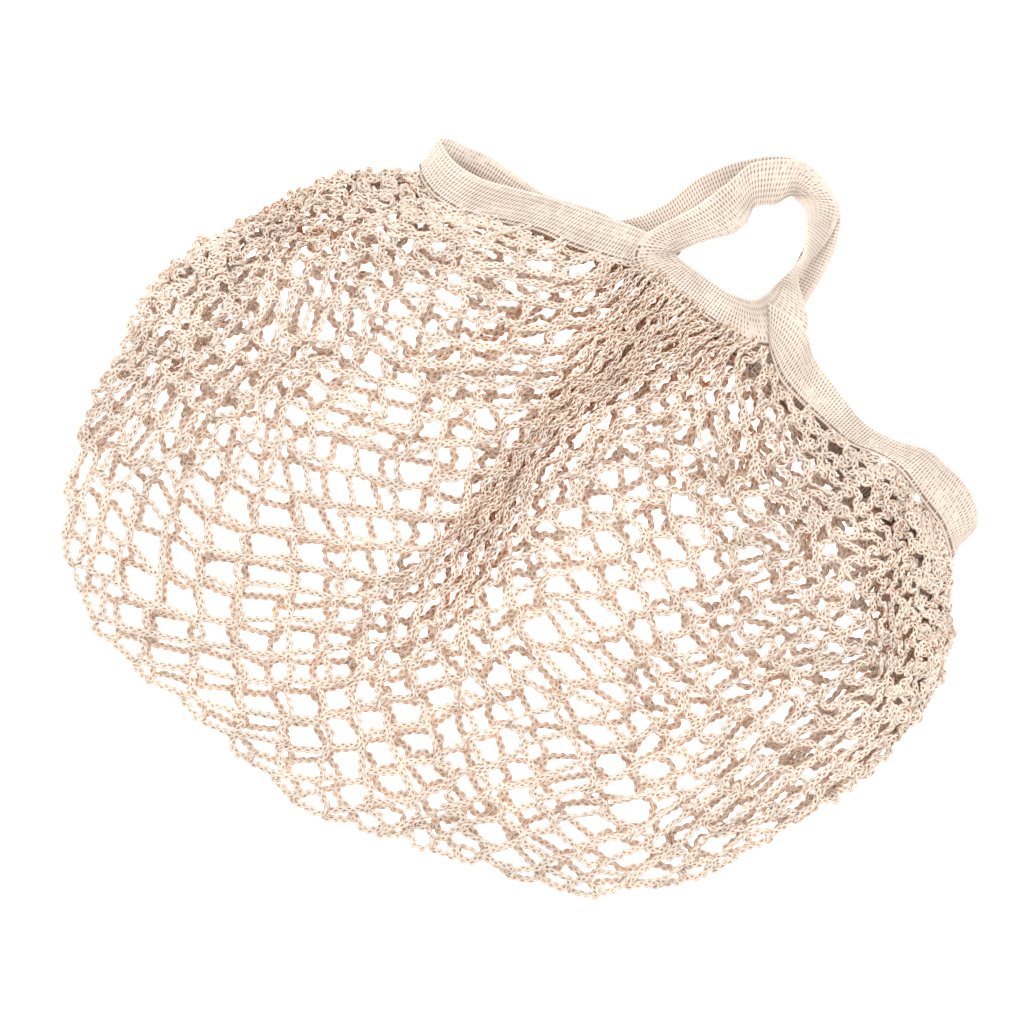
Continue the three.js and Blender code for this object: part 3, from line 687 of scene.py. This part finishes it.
def cotton(name, lit, deep, sheen, turns, fibre, starts):
    """Undyed cotton yarn: soft-edged, matt, with a faint sheen from loose fibres. Light goes in
    among the plies and comes back warmer, so the deep places are painted a warm brown as shade:
    the colour goes from lit towards deep from the depth called starts on. The stripes at a slant
    along the yarn's UV are its twisted fibres, fibre millimetres apart and wound turns times round
    a ply. A fine noise stands for the fluff."""
    # A diagonal wave of scale 1 repeats every 2 pi / 10 along an axis, and the yarn's UV is in mm.
    # Single fibres are far too fine to show, so the stripes are as wide as strands of them
    stripe_scale = TAU / 10 / fibre
    # Object coordinates are in metres. Fluff lies in lumps of 1.1 mm, and in patches of 26 mm the
    # cotton is a little darker or lighter. Stripes and fluff stand up by 0.3 mm at most
    fluff_size, patch_size, rise = 10 / 9 * MM, 26.3158 * MM, 0.3 * MM
    material = bpy.data.materials.new(name)
    material.use_nodes = True
    tree = material.node_tree
    tree.nodes.clear()
    uv = node(tree, "ShaderNodeUVMap", {"uv_map": "yarn"})
    place = node(tree, "ShaderNodeTexCoord")
    slant = node(tree, "ShaderNodeMapping", {"Scale": (1.0, turns, 1.0)}, {"Vector": uv.outputs["UV"]})
    stripes = node(
        tree, "ShaderNodeTexWave",
        {"wave_type": "BANDS", "bands_direction": "DIAGONAL", "Scale": stripe_scale,
         "Distortion": 1.2, "Detail": 2.0, "Detail Scale": 1.5},
        {"Vector": slant.outputs["Vector"]},
    )
    fluff = node(tree, "ShaderNodeTexNoise", {"Scale": 1 / fluff_size, "Detail": 3.0, "Roughness": 0.6},
                 {"Vector": place.outputs["Object"]})
    patch = node(tree, "ShaderNodeTexNoise", {"Scale": 1 / patch_size, "Detail": 2.0, "Roughness": 0.5},
                 {"Vector": place.outputs["Object"]})
    inside = node(tree, "ShaderNodeAttribute", {"attribute_name": "deep"})
    depth = node(tree, "ShaderNodeMapRange", {"From Min": starts, "From Max": 1.0, "To Min": 0.0,
                                              "To Max": 1.0, "clamp": True},
                 {"Value": inside.outputs["Fac"]})
    # Painted shade: the colour turns from lit to the warm brown deep as the yarn lies deeper
    warm = node(tree, "ShaderNodeMix", {"data_type": "RGBA", 6: lit, 7: deep},
                {"Factor": depth.outputs["Result"]})
    # Patches and stripes make the colour about a seventh darker at most, and a little lighter
    shade = node(tree, "ShaderNodeMapRange", {"From Min": 0.3, "From Max": 0.7, "To Min": 0.86,
                                              "To Max": 1.06, "clamp": True},
                 {"Value": patch.outputs["Fac"]})
    streak = node(tree, "ShaderNodeMapRange", {"From Min": 0.0, "From Max": 1.0, "To Min": 0.84,
                                               "To Max": 1.05, "clamp": True},
                  {"Value": stripes.outputs["Fac"]})
    both = node(tree, "ShaderNodeMath", {"operation": "MULTIPLY"},
                {0: shade.outputs["Result"], 1: streak.outputs["Result"]})
    toned = node(tree, "ShaderNodeVectorMath", {"operation": "SCALE"},
                 {0: warm.outputs[2], "Scale": both.outputs["Value"]})
    rough = node(tree, "ShaderNodeBump", {"Strength": 0.4, "Distance": rise},
                 {"Height": stripes.outputs["Fac"]})
    fuzz = node(tree, "ShaderNodeBump", {"Strength": 0.2, "Distance": rise},
                {"Height": fluff.outputs["Fac"], "Normal": rough.outputs["Normal"]})
    shader = node(
        tree, "ShaderNodeBsdfPrincipled",
        {"Roughness": 0.92, "Specular IOR Level": 0.25, "Sheen Weight": sheen, "Sheen Roughness": 0.5},
        {"Base Color": toned.outputs["Vector"], "Normal": fuzz.outputs["Normal"]},
    )
    node(tree, "ShaderNodeOutputMaterial", None, {"Surface": shader.outputs["BSDF"]})
    return material


def rim_cord(size, rng):
    """The chained cord that joins the net to the tape, once round the mouth with its ends
    overlapping, as one column of points."""
    steps, start, end = 900, 0.06, 2.08
    # Height of its middle behind, and how far it stays under the tape's face in front
    behind, under_face = 1.9, 3.2
    rim = rim_at(np.linspace(start, end, steps))
    # In front it hangs a little below the tape
    rim[:, 1] -= 0.4 * size.wide * rim[:, 2]
    rim[:, 2] = behind + rim[:, 2] * (LOFT - under_face)
    # It wanders by this many millimetres across, along the bag and up
    rim += smooth_noise(rng, (steps, 3), (90, 2)) * (0.5, 0.8, 0.3)
    return rim[:, None]


class MakeNet(bpy.types.Operator):
    """Knits the net and the chained cord that joins it to the tape"""

    bl_idname = "string_bag.make_net"
    bl_label = "Make the net"

    def execute(self, context):
        settings = context.scene.string_bag
        size = in_millimetres(settings.net)
        rng = np.random.default_rng(size.seed + 1)
        lines = net_lines(size)
        roll = 0.5 * smooth_noise(rng, lines.shape[:2], (4 * size.rows, size.strands))
        crowd = crowded(lines, size)
        # In a crowd some cords ride up on their neighbours and others sink between them
        lines[..., 2] += 2.0 * crowd * smooth_noise(rng, crowd.shape, (size.rows, size.strands))
        lines[..., 2] = np.maximum(lines[..., 2], size.thick / 2 + CORD_CLEAR)
        # Fibres 0.57 mm apart, wound four times round a ply
        material = cotton("knitted_cotton_cord", settings.finish.cord, settings.finish.cord_deep,
                          sheen=0.1, turns=4.0, fibre=0.5712, starts=0.4)
        rim = rim_cord(size, rng)
        still = np.zeros(rim.shape[:2])
        points, quads, ends, uv, deep = plaited(rim, still, still + RIM_CROWD, size, rng)
        piece = put_mesh("mouth_cord", points, quads, uv, deep, ends)
        finished(piece, material, "net_body")
        for number, part in enumerate(np.array_split(np.arange(size.strands), 4), 1):
            cords = (lines[:, part], roll[:, part], crowd[:, part])
            points, quads, ends, uv, deep = plaited(*cords, size, rng)
            points[:, 2] = np.maximum(points[:, 2], PLY_CLEAR)
            piece = put_mesh(f"net_cords_{number}", points, quads, uv, deep, ends)
            finished(piece, material, "net_body")
        return {"FINISHED"}


def tape_sheet(table, size, closed, rng):
    """Middle surface of a tape, steps along by points across, with the way out of its face, its
    width's direction, the height of its lower edge in plan and the length run. It runs straight
    between two edge curves, is crowned by c(1-(2v-1)^2), and waves a little."""
    lower, upper = table[:, :3], table[:, 3:]
    middle = (lower + upper) / 2
    if closed:
        keep, lead = len(table), 3
        order = np.concatenate([np.arange(keep - lead, keep), np.arange(keep), np.arange(lead + 1)])
        lower, upper, middle = lower[order], upper[order], middle[order]
    run = lengths(middle)
    if closed:
        run = run - run[lead]
        total = run[lead + keep]
    else:
        total = run[-1]
    steps = STEPS_PER_RIB * int(round(total / size.rib))
    at = np.arange(steps) * total / steps if closed else np.linspace(0, total, steps + 1)
    low, high = through(at, run, lower), through(at, run, upper)
    v = np.linspace(0, 1, 2 * size.holes + 1)
    sheet = low[:, None] + (high - low)[:, None] * v[:, None]
    if closed:
        way = unit(np.roll(sheet, -1, axis=0) - np.roll(sheet, 1, axis=0))
    else:
        way = unit(np.gradient(sheet, axis=0))
    wide = unit(high - low)[:, None]
    over = unit(np.cross(way, wide))
    crown = size.crown * (1 - (2 * v - 1) ** 2)
    # It waves by about 0.9 mm over 45 steps, which is 27 mm
    wave = smooth_noise(rng, (len(at), len(v)), (max(3, steps // 45), 2)) * 0.9
    if closed:
        # The wave fades out over 20 steps to both sides of the seam
        wave = wave * np.minimum(1, np.minimum(np.arange(steps), np.arange(steps)[::-1]) / 20)[:, None]
    return sheet + over * (crown + wave)[..., None], over, wide, low[:, 1:2], np.append(at, total)


def tape_shell(table, size, closed, rng):
    """Tape as a closed shell round its middle surface. Ribs run across it, h cos(2 pi s / rib),
    and between them every other point across is a hole. Returns points, quads, end triangles,
    yarn UVs and how deep each point lies, which sets its painted shade."""
    sheet, over, wide, edge_y, run = tape_sheet(table, size, closed, rng)
    along, across = sheet.shape[:2]
    v = np.linspace(0, 1, across)
    step, column = np.arange(along), np.arange(across)
    phase = TAU * step / STEPS_PER_RIB
    rib = np.cos(phase)[:, None] * np.ones(across)
    # Between the ribs every other point across is a hole, and the points beside it sink a little.
    # Holes, and faintly the points beside them, are painted dark as shade. The selvedges are woven
    # close
    beside_hole, in_selvedge = 0.08, 0.6
    valley = (step % STEPS_PER_RIB == 1)[:, None] * np.where(column % 2 == 1, 1, beside_hole)
    # How far each hole is open varies, in patches of about 40 steps and from hole to hole
    cells = (max(3, (along if closed else along - 1) // 40), 3)
    loose = 0.92 + 0.25 * smooth_noise(rng, valley.shape, cells) + 0.25 * rng.normal(size=valley.shape)
    loose = np.clip(loose, 0, 1.3)
    from_edge = np.minimum(v, 1 - v)
    hole = valley * loose * np.where(from_edge < 0.1, in_selvedge, 1.0)
    height = RIB_RISE * rib - HOLE_DEPTH * hole + FUZZ * rng.normal(size=valley.shape) * (rib > 0)
    # A furrow of sewing stitches runs along the edge that the net is sewn to, where that edge
    # lies below this line. Phases of a full turn that round to just under it count as well, so
    # that the stitches are of uneven length. The furrow is painted almost as dark as a hole, as shade
    sewn_below, stitch_height, stitch_shade = 22, -0.5, 0.9
    stitch = (column == 1) & (phase % TAU > 1)[:, None] & (edge_y < sewn_below)
    height = np.where(stitch, stitch_height, height)
    hole = np.where(stitch, stitch_shade, hole)
    # Little light reaches the back tape under the net, 2 to 3.5 mm above the floor and lower
    dim = 0.45
    under_net = np.clip((3.5 - sheet[..., 2]) / 1.5, 0, 1) * np.clip((10 - sheet[..., 1]) / 8, 0, 1)
    hole = hole + dim * under_net
    # The outermost points are thinner, and a brim of 0.55 to 1 mm closes both edges
    thin = 0.62
    thick = np.where(from_edge < 0.03, thin, 1.0) * size.thick / 2
    top = sheet + over * (thick + height)[..., None]
    base = sheet - over * (thick + height)[..., None]
    brim = wide * (0.7 + 0.3 * rib[:, :1, None])
    loop = np.concatenate([top, sheet[:, -1:] + brim, base[:, ::-1], sheet[:, :1] - brim], axis=1)
    bare = np.zeros((along, 1))
    deep = np.concatenate([hole, bare, hole[:, ::-1], bare], axis=1)
    ribs = np.concatenate([rib, rib[:, :1], rib[:, ::-1], rib[:, :1]], axis=1)
    # Painted shade: the valleys between the ribs are painted a little darker
    deep = np.clip(deep + 0.25 * (0.5 - 0.5 * ribs), 0, 1)
    count = loop.shape[1]
    index = np.arange(along * count).reshape(-1, count)
    if closed:
        index = np.concatenate([index, index[:1]])
    nxt = np.roll(index, -1, axis=1)
    quads = np.stack([index[:-1], index[1:], nxt[1:], nxt[:-1]], axis=-1)
    s = np.broadcast_to(run[: len(index), None], index.shape)
    c = np.broadcast_to(np.arange(count), index.shape) * PICK
    uv = np.stack([
        np.stack([s[:-1], c[:-1]], -1), np.stack([s[1:], c[1:]], -1),
        np.stack([s[1:], c[1:] + PICK], -1), np.stack([s[:-1], c[:-1] + PICK], -1),
    ], axis=-2)
    quads, uv = quads.reshape(-1, 4), uv.reshape(-1, 4, 2)
    ends = np.zeros((0, 3), int)
    if not closed:
        # Each end is closed by a ladder between the two faces and a triangle at both brims
        side = column[:-1]
        ladder = np.stack([side, count - 2 - side, count - 3 - side, side + 1], axis=-1)
        brims = np.array([(count - 1, count - 2, 0), (across, across - 1, across + 1)])
        far = index[-1, 0]
        quads = np.concatenate([quads, ladder[:, ::-1], ladder + far])
        ends = np.concatenate([brims[:, ::-1], brims + far])
        uv = np.concatenate([uv, np.zeros((2 * len(ladder), 4, 2))])
    return loop.reshape(-1, 3), quads, ends, uv, deep.reshape(-1)


class MakeTapes(bpy.types.Operator):
    """Weaves the two side bands and the two carrying loops"""

    bl_idname = "string_bag.make_tapes"
    bl_label = "Make the tapes"

    def execute(self, context):
        settings = context.scene.string_bag
        size = in_millimetres(settings.tape)
        rng = np.random.default_rng(size.seed)
        # Fibres 0.7 mm apart, at half a right angle to the tape's length
        material = cotton("woven_cotton_tape", settings.finish.tape, settings.finish.tape_deep,
                          sheen=0.2, turns=1.0, fibre=0.69813, starts=0.2)
        for node_name, table, closed in (
            ("band_left", BAND_LEFT, False), ("band_right", BAND_RIGHT, False),
            ("handle_front", HANDLE_FRONT, True), ("handle_back", HANDLE_BACK, True),
        ):
            points, quads, ends, uv, deep = tape_shell(table, size, closed, rng)
            points[:, 2] = np.maximum(points[:, 2], TAPE_CLEAR)
            piece = put_mesh(f"{node_name}_tape", points, quads, uv, deep, ends)
            finished(piece, material, node_name)
        return {"FINISHED"}


# Lamps: name, place in metres, power in watts and width in metres
LAMPS = (("key", (-0.9, 0.9, 1.5), 17.0, 0.8), ("fill", (1.1, -0.6, 1.6), 8.0, 1.4))
SKY_COLOUR, SKY_STRENGTH = (1.0, 0.985, 0.965, 1), 0.99
# The floor lies just under the tape, is wide enough to fill every view, and glows a little, as
# paper does that is lit until it is pure white
FLOOR_HALF, FLOOR_UNDER, FLOOR_GLOW = 3000.0, 0.4, 1.15
# The camera looks straight down, turned as the bag lies in the photograph
CAMERA_PLACE, CAMERA_TURN, LENS = (-0.00699, -0.02738, 1.4002), 34.32, 85


class MakeStage(bpy.types.Operator):
    """Lays the floor and sets the lights and the camera"""

    bl_idname = "string_bag.make_stage"
    bl_label = "Make the stage"

    def execute(self, context):
        scene = context.scene
        square = np.array([(-1, -1), (1, -1), (1, 1), (-1, 1)]) * FLOOR_HALF
        square = np.column_stack([square, np.full(4, -FLOOR_UNDER)])
        floor = put_mesh("floor", square, np.array([[0, 1, 2, 3]]))
        # Matt white paper has no gloss at all
        paper = bpy.data.materials.new("matt_white_paper")
        paper.use_nodes = True
        tree = paper.node_tree
        tree.nodes.clear()
        shader = node(tree, "ShaderNodeBsdfPrincipled",
                      {"Base Color": scene.string_bag.finish.floor, "Roughness": 0.95,
                       "Emission Color": (1, 1, 1, 1), "Emission Strength": FLOOR_GLOW})
        node(tree, "ShaderNodeOutputMaterial", None, {"Surface": shader.outputs["BSDF"]})
        floor.data.materials.append(paper)

        world = bpy.data.worlds.new("soft_white_room")
        world.use_nodes = True
        sky = world.node_tree.nodes["Background"]
        sky.inputs["Color"].default_value = SKY_COLOUR
        sky.inputs["Strength"].default_value = SKY_STRENGTH
        scene.world = world
        for name, place, power, width in LAMPS:
            light = bpy.data.lights.new(name, "AREA")
            light.energy, light.size = power, width
            lamp = bpy.data.objects.new(name, light)
            lamp.location = place
            # It shines at the middle of the bag
            lamp.rotation_euler = (-Vector(place)).to_track_quat("-Z", "Y").to_euler()
            scene.collection.objects.link(lamp)
        camera = bpy.data.cameras.new("camera")
        camera.lens, camera.sensor_width = LENS, 36
        eye = bpy.data.objects.new("camera", camera)
        eye.location = CAMERA_PLACE
        eye.rotation_euler = (0, 0, math.radians(CAMERA_TURN))
        scene.collection.objects.link(eye)
        scene.camera = eye
        scene.view_settings.view_transform = "Standard"
        return {"FINISHED"}


OPERATORS = (MakeNet, MakeTapes, MakeStage)


class BagPanel(bpy.types.Panel):
    """Lists the bag's sizes and its operators"""

    bl_idname = "VIEW3D_PT_string_bag"
    bl_label = "String bag"
    bl_space_type = "VIEW_3D"
    bl_region_type = "UI"
    bl_category = "Bag"

    def draw(self, context):
        settings = context.scene.string_bag
        for group in (settings.net, settings.tape, settings.finish):
            box = self.layout.box()
            for key in type(group).__annotations__:
                box.prop(group, key)
        for operator in OPERATORS:
            self.layout.operator(operator.bl_idname)


CLASSES = (NetSize, TapeSize, Finish, BagSettings, *OPERATORS, BagPanel)


def register():
    """Registers the settings, operators and panel."""
    for made in CLASSES:
        bpy.utils.register_class(made)
    bpy.types.Scene.string_bag = PointerProperty(type=BagSettings)


def unregister():
    """Takes them away again."""
    del bpy.types.Scene.string_bag
    for made in reversed(CLASSES):
        bpy.utils.unregister_class(made)


def main():
    register()
    bpy.ops.string_bag.make_net()
    bpy.ops.string_bag.make_tapes()
    bpy.ops.string_bag.make_stage()


if __name__ == "__main__":
    main()
